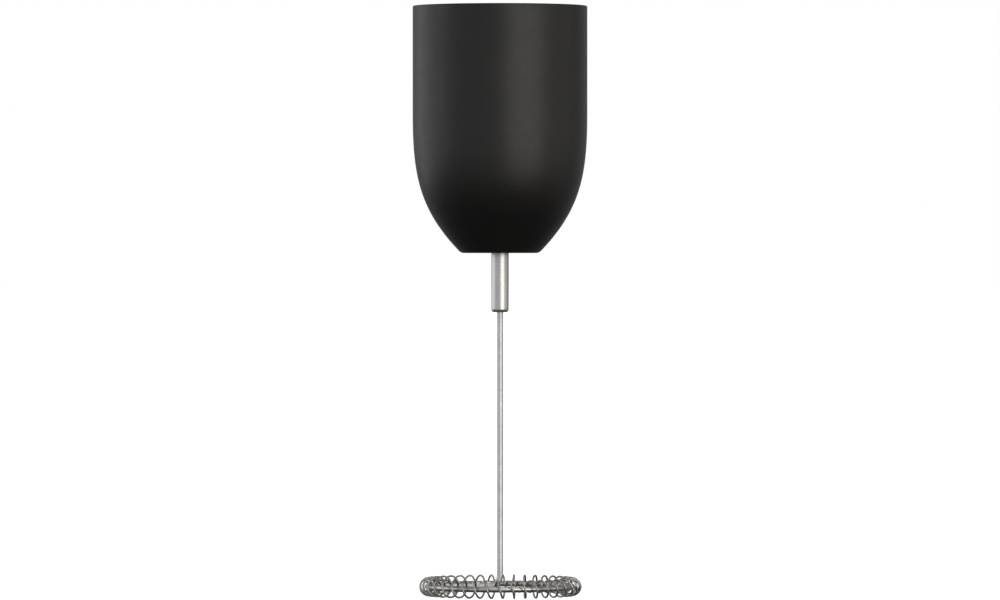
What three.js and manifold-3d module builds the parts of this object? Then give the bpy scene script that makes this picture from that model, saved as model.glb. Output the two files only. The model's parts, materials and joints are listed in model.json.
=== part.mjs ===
// Milk frother attachment of a hand blender: a geared coupling cup that locks on to the motor
// unit, and a steel frothing tool that plugs into its nose. Millimetres, +Z up. The origin is on
// the drive axis in the plane of the cup's rim, where the motor unit seats, so the whole object
// hangs below z = 0.
import * as THREE from "three";
import { mergeVertices } from "three/addons/utils/BufferGeometryUtils.js";
import Module from "manifold-3d";

const wasm = await Module();
wasm.setup();

// ---- Driving dimensions ------------------------------------------------------------------

const FIT = 0.1; // gap between parts that are fixed to each other or turn in each other
const REST_GAP = 0.1; // gap between two faces that rest on each other
const THIRDS = [0, 1, 2].map((i) => (i * 2 * Math.PI) / 3);

// The black cup: a cylinder whose wall runs into a rounded nose with a flat end.
const BODY_R = 30;
const BODY_H = 84.9;
const BODY_WALL = 2.4;
const CURVE_START = 37.3; // depth below the rim at which the wall begins to curve in
const CURVE_HANDLE = 20.8; // reach of the curve's upper handle, straight down the wall
const NOSE_R = 13.4;
const NOSE_HANDLE = 20.5; // reach of the lower handle, back up the nose's slope
const NOSE_SLOPE = THREE.MathUtils.degToRad(45.5);
const NOSE_FLOOR = 3; // thickness of the flat end
const NOSE_ROUND = 0.8; // chamfer between the slope and the flat end
const RIM_ROUND = 0.8;
const CORE_R = BODY_R - BODY_WALL; // inside of the cup
const COLLAR_WALL = 2;
const COLLAR_HEIGHT = 9; // the collar inside the nose, round the gearbox hub

// Socket for the motor unit, closed below by the lock ring's flange.
const SOCKET_DEPTH = 22;
const LOCK_WALL = 1.4;
const LOCK_TOP = 1.6; // how far the lock ring stands back from the rim
const LOCK_FLANGE = 2.2;
const LOCK_FLANGE_R = 17.5; // hole in the flange
const LOCK_R = CORE_R - FIT;
const LUG_DEPTH = 2.6; // how far each bayonet lug stands in from the lock ring's wall
const LUG_HEIGHT = 3;
const LUG_Z = 7; // depth of the lugs' upper faces
const LUG_ANGLE = THREE.MathUtils.degToRad(26);

// Long screws through the lock ring and the gearbox cover into posts in the cup.
const SCREW_CIRCLE = 23.2;
const SCREW_R = 1.4;
const SCREW_HEAD_R = 2.5;
const SCREW_HEAD_H = 1.2;
const SCREW_LENGTH = 13;
const SCREW_START = Math.PI / 2;
const SCREW_HOLE_DEPTH = 10.5; // below a post's top
const POST_R = 2.8;
const POST_LENGTH = 14;

// Planetary gear train, one stage, 1:5. 12 + 2 x 18 = 48, so the ring meshes.
const MODULE = 0.65;
const SUN_TEETH = 12;
const PLANET_TEETH = 18;
const RING_TEETH = SUN_TEETH + 2 * PLANET_TEETH;
const PRESSURE_ANGLE = THREE.MathUtils.degToRad(20);
const ADDENDUM = 0.85 * MODULE;
const DEDENDUM = 1.15 * MODULE;
const BACKLASH = 0.1; // taken off each tooth's thickness at the pitch circle
const PLANET_CIRCLE = (MODULE * (SUN_TEETH + PLANET_TEETH)) / 2;
const GEAR_FACE = 7;
const RING_R = 18.4;
const RING_FACE = 11.4;

// Gearbox shell: a cover plate on a cup with a long hub.
const COVER_T = 2.6;
const CASE_R = 20.2;
const CASE_WALL = 1.7;
const CASE_DEPTH = 15.9; // from the cover's underside to the floor's underside
const CASE_FLOOR = 2;
const LEDGE_WIDTH = 2.2;
const LEDGE_HEIGHT = 1.2;
const HUB_R = 8.4;
const HUB_BORE_R = 5.4;
const COVER_HUB_R = 6;
const COVER_HUB_TOP = 1.8; // above the cover's upper face
const COVER_HUB_DROP = 1.9; // below its lower face

// Shafts, bushes and the tool.
const SHAFT_R = 2;
const SPINDLE_R = 4.9;
const BUSH_LENGTH = 6.4;
const BUSH_WALL = 1.6;
const TOOL_R = 3;
const TOOL_SHOWN = 20.3; // stem below the nose
const TOOL_INSERTED = 34;
const TOOL_FLAT = 2.3; // half-width over the stem's two drive flats
const TOOL_FLAT_LENGTH = 8;
const GROOVE_DEPTH = 0.45;
const GROOVE_HALF = 0.6;
const ROD_R = 1.1; // the rod and spoke are one 2.2 mm wire
const WIRE_R = 1; // the hoop is 2 mm wire
const HOOP_R = 24.85; // centre line of the hoop
const HOOP_DEPTH = 199.5; // hoop's centre plane below the rim
const BEND_R = 4; // where the rod turns into the spoke
const SPOKE_SUNK = 0.5; // how far the spoke's end is let into the hoop

// The spring wound round the hoop.
const COIL_R = 2.88; // centre line of the coil's own wire
const COIL_WIRE_R = 0.35;
const COIL_TURNS = 40;
const COIL_END_R = WIRE_R + COIL_WIRE_R + 0.1; // its last half turn closes down on to the hoop
const COIL_GAP = THREE.MathUtils.degToRad(3); // between its two ends, at the spoke

// ---- Heights worked out from the above ---------------------------------------------------

const FLANGE_BASE = -SOCKET_DEPTH - LOCK_FLANGE;
const COVER_TOP = FLANGE_BASE - REST_GAP;
const COVER_BASE = COVER_TOP - COVER_T;
const POST_TOP = COVER_BASE - REST_GAP;
const CASE_TOP = COVER_BASE - REST_GAP;
const CASE_BASE = CASE_TOP - CASE_DEPTH;
const CASE_FLOOR_TOP = CASE_BASE + CASE_FLOOR;
const CARRIER_T = 3;
const CARRIER_WASHER_T = 0.6;
const CARRIER_BASE = CASE_FLOOR_TOP + CARRIER_WASHER_T + 2 * REST_GAP;
const CARRIER_TOP = CARRIER_BASE + CARRIER_T;
const GEAR_BASE = CARRIER_TOP + 2 * REST_GAP;
const GEAR_TOP = GEAR_BASE + GEAR_FACE;
const NOSE_BASE = -BODY_H;
const NOSE_FLOOR_TOP = NOSE_BASE + NOSE_FLOOR;
const SPINDLE_BASE = NOSE_FLOOR_TOP + 1.2;
const HUB_BASE = SPINDLE_BASE + 4;
const STEM_TOP = NOSE_BASE + TOOL_INSERTED;
const STEM_BASE = NOSE_BASE - TOOL_SHOWN;
const FLATS_BASE = STEM_TOP - TOOL_FLAT_LENGTH;
const GROOVE_Z = FLATS_BASE - 5;
const HOOP_Z = -HOOP_DEPTH;

// ---- Materials ---------------------------------------------------------------------------

const finish = (color, roughness, metalness) =>
  new THREE.MeshStandardMaterial({ color, roughness, metalness });
const BLACK_ABS = finish("#232323", 0.42, 0);
const BLACK_PA = finish("#1b1b1c", 0.5, 0);
const GREY_CASE = finish("#8d9092", 0.55, 0);
const GEAR_ACETAL = finish("#e9e6dc", 0.45, 0);
const STAINLESS = finish("#c9c8c4", 0.25, 1);
const SPRING_STEEL = finish("#b9b9b7", 0.3, 1);
const GROUND_STEEL = finish("#a9abad", 0.3, 1);
const ZINC_SCREW = finish("#b5b8bb", 0.35, 1);
const BRONZE = finish("#a97f4c", 0.45, 1);
const SEAL_RUBBER = finish("#191919", 0.8, 0);

// ---- Shape helpers -----------------------------------------------------------------------

// A solid of revolution about Z. profile lists [radius, z] anticlockwise, as seen with the
// radius to the right, and closes on itself or on the axis.
function turned(profile, segments = 32) {
  const points = profile.map(([r, z]) => new THREE.Vector2(r, z));
  if (profile[0][0] > 0 || profile.at(-1)[0] > 0) points.push(points[0].clone());
  return new THREE.LatheGeometry(points, segments).rotateX(Math.PI / 2);
}

// A tube or washer between two radii and two heights.
function ringGeometry(inner, outer, low, high, segments = 24) {
  return turned([[inner, low], [outer, low], [outer, high], [inner, high]], segments);
}

// A solid cylinder along Z, from low to high, with a chamfer at either end.
function rod(radius, low, high, { segments = 24, chamferLow = 0, chamferHigh = 0 } = {}) {
  const profile = [[0, low], [radius - chamferLow, low]];
  if (chamferLow) profile.push([radius, low + chamferLow]);
  profile.push([radius, high - chamferHigh]);
  if (chamferHigh) profile.push([radius - chamferHigh, high]);
  profile.push([0, high]);
  return turned(profile, segments);
}

// An outline raised along Z, from low to high, with round or shaped holes.
function raised(outline, low, high, holes = []) {
  const shape = new THREE.Shape(outline);
  shape.holes = holes.map((h) => new THREE.Path(h));
  const made = new THREE.ExtrudeGeometry(shape, { depth: high - low, bevelEnabled: false });
  return made.translate(0, 0, low);
}

function circle(radius, count, centre = [0, 0]) {
  return Array.from({ length: count }, (_, i) => {
    const a = (i * 2 * Math.PI) / count;
    return new THREE.Vector2(centre[0] + radius * Math.cos(a), centre[1] + radius * Math.sin(a));
  });
}

// A circle with two flats, across X.
function doubleFlat(radius, half) {
  const flatten = (p) => new THREE.Vector2(THREE.MathUtils.clamp(p.x, -half, half), p.y);
  return circle(radius, 24).map(flatten);
}

function block(x, y, z, centre) {
  return new THREE.BoxGeometry(x, y, z).translate(...centre);
}

// A tube of round section along a curve.
function tube(curve, radius, steps, sides) {
  const section = new THREE.Shape(circle(radius, sides));
  return new THREE.ExtrudeGeometry(section, { steps, extrudePath: curve, bevelEnabled: false });
}

// three.js geometry to a manifold-3d solid, and back.
function solidOf(geometry) {
  const bare = geometry.clone();
  bare.deleteAttribute("normal");
  bare.deleteAttribute("uv");
  const merged = mergeVertices(bare, 1e-4);
  return new wasm.Manifold(new wasm.Mesh({
    numProp: 3,
    vertProperties: new Float32Array(merged.getAttribute("position").array),
    triVerts: new Uint32Array(merged.index.array),
  }));
}

function geometryOf(solid) {
  const { vertProperties, triVerts } = solid.getMesh();
  return new THREE.BufferGeometry()
    .setAttribute("position", new THREE.BufferAttribute(vertProperties, 3))
    .setIndex(new THREE.BufferAttribute(triVerts, 1));
}

function combined(base, { add = [], cut = [] }) {
  let solid = solidOf(base);
  for (const piece of add) solid = solid.add(solidOf(piece));
  for (const piece of cut) solid = solid.subtract(solidOf(piece));
  return geometryOf(solid);
}

// Three copies of a geometry, a third of a turn apart, the first at the angle given.
function threeRound(geometry, start) {
  return THIRDS.map((a) => geometry.clone().rotateZ(start + a));
}

// Three places on a circle, a third of a turn apart, in line with the screws.
function threePlaces(radius, z = 0) {
  return THIRDS.map((a) => [
    radius * Math.cos(SCREW_START + a),
    radius * Math.sin(SCREW_START + a),
    z,
  ]);
}

// Cutter for one screw's hole, standing on +X.
function screwHole(low, high) {
  return rod(SCREW_R + FIT, low, high, { segments: 16 }).translate(SCREW_CIRCLE, 0, 0);
}

// ---- Gear teeth --------------------------------------------------------------------------

// Half-angle of a tooth, seen from the gear's centre, at a radius on its involute flank.
function halfTooth(teeth, radius, thinning) {
  const pitch = (MODULE * teeth) / 2;
  const involute = (r) => {
    const a = Math.acos(Math.min(1, (pitch * Math.cos(PRESSURE_ANGLE)) / r));
    return Math.tan(a) - a;
  };
  return (Math.PI / 2 - thinning / MODULE) / teeth + involute(pitch) - involute(radius);
}

// Outline of a gear with a tooth centred on +X. An internal ring is the outline of the space
// it leaves: the outline's teeth are then the ring's gaps, fatter by the backlash.
function gearOutline(teeth, { tip, root, thinning, steps }) {
  const base = (MODULE * teeth * Math.cos(PRESSURE_ANGLE)) / 2;
  const low = Math.max(root, base);
  const radii = Array.from({ length: steps + 1 }, (_, i) => low + ((tip - low) * i) / steps);
  const at = (r, a) => new THREE.Vector2(r * Math.cos(a), r * Math.sin(a));
  const points = [];
  for (let i = 0; i < teeth; i++) {
    const centre = (i * 2 * Math.PI) / teeth;
    const flank = radii.map((r) => [r, halfTooth(teeth, r, thinning)]);
    if (root < base) flank.unshift([root, halfTooth(teeth, base, thinning)]);
    flank.forEach(([r, a]) => points.push(at(r, centre - a)));
    flank.reverse().forEach(([r, a]) => points.push(at(r, centre + a)));
  }
  return points;
}

function externalGear(teeth, low, high, boreR) {
  const pitch = (MODULE * teeth) / 2;
  const outline = gearOutline(teeth, {
    tip: pitch + ADDENDUM, root: pitch - DEDENDUM, thinning: BACKLASH, steps: 2,
  });
  return raised(outline, low, high, [circle(boreR, 16)]);
}

// ---- The cup and what is fixed in it -----------------------------------------------------

// The cup's outline from where it begins to curve in down to the nose, as [radius, z], set in
// by inset and stopped where it reaches the height given.
function wallCurve(inset, steps, lowest = NOSE_BASE) {
  const back = new THREE.Vector2(Math.cos(NOSE_SLOPE), Math.sin(NOSE_SLOPE));
  const curve = new THREE.CubicBezierCurve(
    new THREE.Vector2(BODY_R, -CURVE_START),
    new THREE.Vector2(BODY_R, -CURVE_START - CURVE_HANDLE),
    new THREE.Vector2(NOSE_R, NOSE_BASE).addScaledVector(back, NOSE_HANDLE),
    new THREE.Vector2(NOSE_R, NOSE_BASE),
  );
  const at = (t) => {
    const along = curve.getTangent(t);
    return curve.getPoint(t).add(new THREE.Vector2(along.y, -along.x).multiplyScalar(inset));
  };
  let end = 1;
  while (at(end).y < lowest - 1e-9) end -= 0.002;
  return Array.from({ length: steps + 1 }, (_, i) => at((i * end) / steps).toArray());
}

const SEAL_R = 7.4;
const SEAL_T = 2;
const NOSE_HOLE_R = TOOL_R + 1;

// The one-piece black cup, with its three screw posts and the collar that steadies the hub.
function cup() {
  const outside = wallCurve(0, 9, NOSE_BASE + NOSE_ROUND).reverse();
  const inside = wallCurve(BODY_WALL, 5, NOSE_FLOOR_TOP + NOSE_ROUND);
  const floorR = inside.at(-1)[0] - NOSE_ROUND;
  const collarR = HUB_R + COLLAR_WALL;
  const collarTop = NOSE_FLOOR_TOP + COLLAR_HEIGHT;
  const shell = turned([
    [SEAL_R + FIT, NOSE_BASE], [NOSE_R - NOSE_ROUND, NOSE_BASE], ...outside,
    [BODY_R, -RIM_ROUND], [BODY_R - RIM_ROUND, 0], [CORE_R + 0.3, 0], [CORE_R, -0.3],
    ...inside, [floorR, NOSE_FLOOR_TOP],
    [collarR + 0.2, NOSE_FLOOR_TOP], [collarR, collarTop], [HUB_R + FIT, collarTop],
    [HUB_R + FIT, NOSE_FLOOR_TOP], [NOSE_HOLE_R, NOSE_FLOOR_TOP],
    [NOSE_HOLE_R, NOSE_BASE + SEAL_T], [SEAL_R + FIT, NOSE_BASE + SEAL_T],
  ], 48);
  const postBase = POST_TOP - POST_LENGTH;
  const post = rod(POST_R, postBase, POST_TOP, { segments: 16 }).translate(SCREW_CIRCLE, 0, 0);
  const web = block(4, 2 * POST_R - 1.6, POST_LENGTH, [SCREW_CIRCLE + 3, 0, postBase + POST_LENGTH / 2]);
  const hole = screwHole(POST_TOP - SCREW_HOLE_DEPTH, POST_TOP + 1);
  return combined(shell, {
    add: [...threeRound(post, SCREW_START), ...threeRound(web, SCREW_START)],
    cut: threeRound(hole, SCREW_START),
  });
}

// The lock ring: a sleeve with three bayonet lugs, and a flange that the screws clamp.
function lockRing() {
  const sleeve = turned([
    [LOCK_FLANGE_R, FLANGE_BASE], [LOCK_R, FLANGE_BASE], [LOCK_R, -LOCK_TOP],
    [LOCK_R - LOCK_WALL, -LOCK_TOP], [LOCK_R - LOCK_WALL, -SOCKET_DEPTH],
    [LOCK_FLANGE_R, -SOCKET_DEPTH],
  ], 48);
  const outer = LOCK_R - LOCK_WALL / 2;
  const inner = LOCK_R - LOCK_WALL - LUG_DEPTH;
  const arc = (r, from, to) => Array.from({ length: 5 }, (_, i) => {
    const a = from + ((to - from) * i) / 4;
    return new THREE.Vector2(r * Math.cos(a), r * Math.sin(a));
  });
  const half = LUG_ANGLE / 2;
  const outline = [...arc(outer, -half, half), ...arc(inner, half, -half)];
  const lug = raised(outline, -LUG_Z - LUG_HEIGHT, -LUG_Z);
  const hole = turned([
    [0, FLANGE_BASE - 1], [SCREW_R + FIT, FLANGE_BASE - 1],
    [SCREW_R + FIT, -SOCKET_DEPTH - SCREW_HEAD_H - FIT], [SCREW_HEAD_R + FIT, -SOCKET_DEPTH - FIT],
    [SCREW_HEAD_R + FIT, -SOCKET_DEPTH + 1], [0, -SOCKET_DEPTH + 1],
  ], 16).translate(SCREW_CIRCLE, 0, 0);
  return combined(sleeve, {
    add: threeRound(lug, SCREW_START + Math.PI / 3),
    cut: threeRound(hole, SCREW_START),
  });
}

// Countersunk screw with a cross recess, its head's top at z = 0.
function chassisScrew() {
  const shank = turned([
    [0, -SCREW_LENGTH], [0.5, -SCREW_LENGTH], [SCREW_R, -SCREW_LENGTH + 1.2],
    [SCREW_R, -SCREW_HEAD_H], [SCREW_HEAD_R, -0.15], [SCREW_HEAD_R, 0], [0, 0],
  ], 12);
  const slot = [block(2.6, 0.6, 1.6, [0, 0, 0]), block(0.6, 2.6, 1.6, [0, 0, 0])];
  return combined(shank, { cut: slot });
}

// ---- Gearbox shell -----------------------------------------------------------------------

const COVER_BUSH_R = SHAFT_R + FIT + BUSH_WALL;
const COVER_SEAL_R = 5;
const COVER_SEAL_T = 1.4;
const SPIGOT_WALL = 1.5; // the cover's spigot, inside the case's mouth
const SPIGOT_DROP = 1.1;

// The cover plate, with three ears for the screws and a hub for the input shaft's bush.
function gearboxCover() {
  const high = COVER_TOP + COVER_HUB_TOP;
  const low = COVER_BASE - COVER_HUB_DROP;
  const spigotR = RING_R - FIT;
  const spigotBase = COVER_BASE - SPIGOT_DROP;
  const plate = turned([
    [COVER_BUSH_R + FIT, low], [COVER_HUB_R, low], [COVER_HUB_R, COVER_BASE],
    [spigotR - SPIGOT_WALL, COVER_BASE], [spigotR - SPIGOT_WALL, spigotBase], [spigotR, spigotBase],
    [spigotR, COVER_BASE], [CASE_R, COVER_BASE], [CASE_R, COVER_TOP],
    [COVER_HUB_R + 0.4, COVER_TOP], [COVER_HUB_R, high], [COVER_SEAL_R + FIT, high],
    [COVER_SEAL_R + FIT, high - COVER_SEAL_T], [COVER_BUSH_R + FIT, high - COVER_SEAL_T],
  ]);
  const ear = rod(POST_R, COVER_BASE, COVER_TOP, { segments: 16 }).translate(SCREW_CIRCLE, 0, 0);
  const neck = block(6, 2 * POST_R, COVER_T, [SCREW_CIRCLE - 3, 0, COVER_BASE + COVER_T / 2]);
  const rib = block(9.5, 1.2, 1.2, [11.5, 0, COVER_TOP + 0.5]);
  return combined(plate, {
    add: [
      ...threeRound(ear, SCREW_START),
      ...threeRound(neck, SCREW_START),
      ...threeRound(rib, SCREW_START + Math.PI / 3),
    ],
    cut: threeRound(screwHole(COVER_BASE - 1, COVER_TOP + 1), SCREW_START),
  });
}

// The gearbox cup, and the long hub that carries the output spindle's two bushes. The ring gear
// stands on a ledge inside it.
function gearboxCase() {
  const bushR = SPINDLE_R + FIT + BUSH_WALL + FIT;
  const upperSeat = CASE_FLOOR_TOP - BUSH_LENGTH - FIT;
  const lowerSeat = HUB_BASE + BUSH_LENGTH + FIT;
  const bore = CASE_R - CASE_WALL;
  const ledgeR = bore - LEDGE_WIDTH;
  const ledgeTop = CASE_FLOOR_TOP + LEDGE_HEIGHT;
  return turned([
    [bushR, HUB_BASE], [HUB_R, HUB_BASE], [HUB_R, CASE_BASE - 2], [HUB_R + 2, CASE_BASE],
    [CASE_R - 1.5, CASE_BASE], [CASE_R, CASE_BASE + 1.5], [CASE_R, CASE_TOP], [bore, CASE_TOP],
    [bore, ledgeTop], [ledgeR, ledgeTop], [ledgeR, CASE_FLOOR_TOP],
    [bushR, CASE_FLOOR_TOP], [bushR, upperSeat],
    [HUB_BORE_R, upperSeat], [HUB_BORE_R, lowerSeat], [bushR, lowerSeat],
  ]);
}

// Plain sintered bush, its lower end at z = 0.
function bush(innerR, length) {
  const outer = innerR + BUSH_WALL;
  return turned([
    [innerR, 0], [outer - 0.3, 0], [outer, 0.3], [outer, length - 0.3], [outer - 0.3, length],
    [innerR, length],
  ], 28);
}

// ---- Gear train --------------------------------------------------------------------------

// The fixed ring gear, a round ring with internal teeth.
function ringGear() {
  const pitch = (MODULE * RING_TEETH) / 2;
  const space = gearOutline(RING_TEETH, {
    tip: pitch + DEDENDUM, root: pitch - ADDENDUM, thinning: -BACKLASH, steps: 1,
  }).map((p) => p.rotateAround(new THREE.Vector2(), Math.PI / RING_TEETH));
  const base = CASE_FLOOR_TOP + LEDGE_HEIGHT + REST_GAP;
  return raised(circle(RING_R - FIT, 48), base, base + RING_FACE, [space]);
}

const PIN_R = 1.5;
const PIN_HEAD_R = 2.4;
const CARRIER_R = 13.2;
const HEX_R = 4.6; // corner radius of the spindle's hexagonal neck

// The carrier disc, with three holes for the planets' pins and a hexagonal one for the spindle.
function carrier() {
  const holes = threePlaces(PLANET_CIRCLE).map((place) => circle(PIN_R + FIT, 12, place));
  return raised(circle(CARRIER_R, 48), CARRIER_BASE, CARRIER_TOP, [...holes, circle(HEX_R + FIT, 6)]);
}

// Headed pin on which a planet turns, standing on z = 0 at the carrier's underside.
function planetPin() {
  const top = GEAR_TOP - CARRIER_BASE + REST_GAP;
  return turned([
    [0, FIT], [PIN_R, FIT], [PIN_R, top], [PIN_HEAD_R, top], [PIN_HEAD_R, top + 0.5],
    [PIN_HEAD_R - 0.3, top + 0.8], [0, top + 0.8],
  ], 12);
}

const PILOT_DEPTH = 5.2;
const CLIP_T = 0.7; // the spindle clip's thickness, and the depth of its groove
const CLIP_Z = HUB_BASE - 1.3;
const SOCKET_R = TOOL_R + FIT;
const SOCKET_GROOVE_R = TOOL_R + 0.9;

// The output spindle: a hexagonal neck for the carrier, a pilot bore for the input shaft, and
// the tool's socket, with two flats at its end.
function outputSpindle() {
  const shoulder = CARRIER_BASE - REST_GAP;
  const grooveHalf = CLIP_T / 2 + FIT;
  const body = turned([
    [0, SPINDLE_BASE], [SPINDLE_R - 0.4, SPINDLE_BASE], [SPINDLE_R, SPINDLE_BASE + 0.4],
    [SPINDLE_R, CLIP_Z - grooveHalf], [SPINDLE_R - CLIP_T, CLIP_Z - grooveHalf],
    [SPINDLE_R - CLIP_T, CLIP_Z + grooveHalf], [SPINDLE_R, CLIP_Z + grooveHalf],
    [SPINDLE_R, shoulder], [0, shoulder],
  ], 28);
  const neck = raised(circle(HEX_R, 6), shoulder - 1, CARRIER_TOP);
  const pilot = rod(SHAFT_R + FIT, CARRIER_TOP - PILOT_DEPTH, CARRIER_TOP + 1, { segments: 20 });
  const socketTop = FLATS_BASE + FIT;
  const socket = turned([
    [0, SPINDLE_BASE - 1], [SOCKET_R, SPINDLE_BASE - 1], [SOCKET_R, GROOVE_Z - GROOVE_HALF],
    [SOCKET_GROOVE_R, GROOVE_Z - GROOVE_HALF], [SOCKET_GROOVE_R, GROOVE_Z + GROOVE_HALF],
    [SOCKET_R, GROOVE_Z + GROOVE_HALF], [SOCKET_R, socketTop], [0, socketTop],
  ], 24);
  const pocket = raised(doubleFlat(SOCKET_R, TOOL_FLAT + FIT), socketTop - 1, STEM_TOP + 0.5);
  return combined(body, { add: [neck], cut: [pilot, socket, pocket] });
}

// Split ring in the socket's groove that snaps into the groove in the tool's stem.
function stemClip() {
  const radius = TOOL_R + 0.25;
  const split = 0.35; // half the angle of its gap
  const arc = new THREE.EllipseCurve(0, 0, radius, radius, split, 2 * Math.PI - split);
  const points = arc.getPoints(20).map((p) => new THREE.Vector3(p.x, p.y, 0));
  return tube(new THREE.CatmullRomCurve3(points), 0.4, 20, 6);
}

// Retaining clip on the spindle: a washer with an open slot to one side.
function spindleClip() {
  const inner = SPINDLE_R - CLIP_T + FIT;
  const disc = ringGeometry(inner, SPINDLE_R + 2, -CLIP_T / 2, CLIP_T / 2, 28);
  return combined(disc, { cut: [block(6, 2 * inner - 1.6, 2, [inner + 2.2, 0, 0])] });
}

// ---- Input side --------------------------------------------------------------------------

const DOG_BASE = COVER_TOP + COVER_HUB_TOP + 0.3;
const DOG_TOP = -9;
const DOG_LOBES = 6;
const SHAFT_BASE = CARRIER_TOP - PILOT_DEPTH + 0.3;
const CROSS_PIN_R = 0.75;
const CROSS_PIN_LENGTH = 13.2;
const CROSS_PIN_Z = DOG_BASE + 1.9;

// Cutter or pin along Y through the shaft, at the cross pin's height.
function crossRod(radius, length) {
  const bar = rod(radius, -length / 2, length / 2, { segments: 12 });
  return bar.rotateX(Math.PI / 2).translate(0, 0, CROSS_PIN_Z);
}

// The six-lobed driving dog that the motor unit's coupling grips.
function driveDog() {
  const count = DOG_LOBES * 6;
  const star = Array.from({ length: count }, (_, i) => {
    const a = (i * 2 * Math.PI) / count;
    const r = 5.2 + 1.3 * Math.tanh(2.2 * Math.cos(DOG_LOBES * a));
    return new THREE.Vector2(r * Math.cos(a), r * Math.sin(a));
  });
  const skirt = turned([
    [0, DOG_BASE], [7.6, DOG_BASE], [8, DOG_BASE + 0.4], [8, DOG_BASE + 2.6],
    [7.4, DOG_BASE + 3.4], [0, DOG_BASE + 3.4],
  ]);
  const cone = turned([
    [0, DOG_BASE], [12, DOG_BASE], [12, DOG_TOP - 6.9], [5.1, DOG_TOP], [0, DOG_TOP],
  ], 24);
  const splined = solidOf(raised(star, DOG_BASE + 1, DOG_TOP)).intersect(solidOf(cone));
  const bore = rod(SHAFT_R + FIT, DOG_BASE - 1, DOG_TOP - 1.6, { segments: 20 });
  const whole = geometryOf(splined.add(solidOf(skirt)));
  return combined(whole, { cut: [bore, crossRod(CROSS_PIN_R + FIT, 18)] });
}

// The input shaft: a chamfered bar with a cross hole for the dog's pin.
function inputShaft() {
  const ends = { segments: 20, chamferLow: 0.4, chamferHigh: 0.4 };
  const bar = rod(SHAFT_R, SHAFT_BASE, DOG_TOP - 2, ends);
  return combined(bar, { cut: [crossRod(CROSS_PIN_R + FIT, 8)] });
}

// ---- The frothing tool -------------------------------------------------------------------

const ROD_TOP = STEM_BASE + 25; // the rod is let 25 mm into the stem

// The stem: a bar with drive flats and a clip groove above, bored from below for the rod.
function toolStem() {
  const waist = TOOL_R - GROOVE_DEPTH;
  const body = turned([
    [0, STEM_BASE], [TOOL_R - 0.9, STEM_BASE], [TOOL_R - 0.3, STEM_BASE + 0.4],
    [TOOL_R, STEM_BASE + 1.3], [TOOL_R, GROOVE_Z - GROOVE_HALF],
    [waist, GROOVE_Z - GROOVE_HALF], [waist, GROOVE_Z + GROOVE_HALF],
    [TOOL_R, GROOVE_Z + GROOVE_HALF], [TOOL_R, FLATS_BASE], [0, FLATS_BASE],
  ], 24);
  const tongue = raised(doubleFlat(TOOL_R, TOOL_FLAT), FLATS_BASE - 1, STEM_TOP);
  const bore = rod(ROD_R + FIT, STEM_BASE - 1, ROD_TOP + 1, { segments: 12 });
  return combined(body, { add: [tongue], cut: [bore] });
}

// The rod comes down the axis, then turns through a right angle and runs out to the hoop.
function rodAndSpoke() {
  const lap = 0.05;
  const reach = BEND_R * (1 - 0.5523); // handles that make the bend a quarter circle
  const upright = rod(ROD_R, HOOP_Z + BEND_R - lap, ROD_TOP, { segments: 12 });
  const spoke = rod(ROD_R, -HOOP_R + WIRE_R - SPOKE_SUNK, lap - BEND_R, { segments: 12 });
  const bend = new THREE.CubicBezierCurve3(
    new THREE.Vector3(0, 0, HOOP_Z + BEND_R),
    new THREE.Vector3(0, 0, HOOP_Z + reach),
    new THREE.Vector3(-reach, 0, HOOP_Z),
    new THREE.Vector3(-BEND_R, 0, HOOP_Z),
  );
  return combined(upright, {
    add: [spoke.rotateY(Math.PI / 2).translate(0, 0, HOOP_Z), tube(bend, ROD_R, 6, 12)],
  });
}

// The closed hoop, with the shallow seat into which the spoke is welded.
function hoop() {
  const ring = new THREE.TorusGeometry(HOOP_R, WIRE_R, 8, 64);
  const seat = rod(ROD_R + FIT, WIRE_R - HOOP_R - SPOKE_SUNK - FIT, 0, { segments: 12 });
  return combined(ring, { cut: [seat.rotateY(Math.PI / 2)] }).translate(0, 0, HOOP_Z);
}

// Centre line of a right-handed coil wound round the hoop, its ends either side of the spoke.
class CoilOnHoop extends THREE.Curve {
  getPoint(t, target = new THREE.Vector3()) {
    const past = COIL_GAP / 2 + t * (2 * Math.PI - COIL_GAP); // angle past the spoke
    const turn = -COIL_TURNS * past;
    const halfTurns = Math.min(t, 1 - t) * 2 * COIL_TURNS;
    const coilR = THREE.MathUtils.lerp(COIL_END_R, COIL_R, THREE.MathUtils.smoothstep(halfTurns, 0, 1));
    const r = HOOP_R + coilR * Math.cos(turn);
    return target.set(-r * Math.cos(past), -r * Math.sin(past), HOOP_Z + coilR * Math.sin(turn));
  }
}

function hoopSpring() {
  const stepsPerTurn = 8;
  return tube(new CoilOnHoop(), COIL_WIRE_R, COIL_TURNS * stepsPerTurn, 4);
}

// ---- Assembly ----------------------------------------------------------------------------

// A named part: its geometry and material, and where it stands.
function named(name, geometry, material, at = [0, 0, 0]) {
  const mesh = new THREE.Mesh(geometry, material);
  mesh.name = name;
  mesh.position.set(...at);
  return mesh;
}

function group(...children) {
  const made = new THREE.Group();
  made.add(...children);
  return made;
}

const noseSeal = ringGeometry(TOOL_R + 0.15, SEAL_R, 0.05, SEAL_T - FIT);
const chassisScrews = threePlaces(SCREW_CIRCLE, -SOCKET_DEPTH).map((place, i) =>
  named(`chassis_screw_${i + 1}`, chassisScrew(), ZINC_SCREW, place));

const cupParts = group(
  named("outer_cup", cup(), BLACK_ABS),
  named("lock_ring", lockRing(), BLACK_PA),
  named("nose_seal", noseSeal, SEAL_RUBBER, [0, 0, NOSE_BASE]),
  ...chassisScrews,
);

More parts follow.
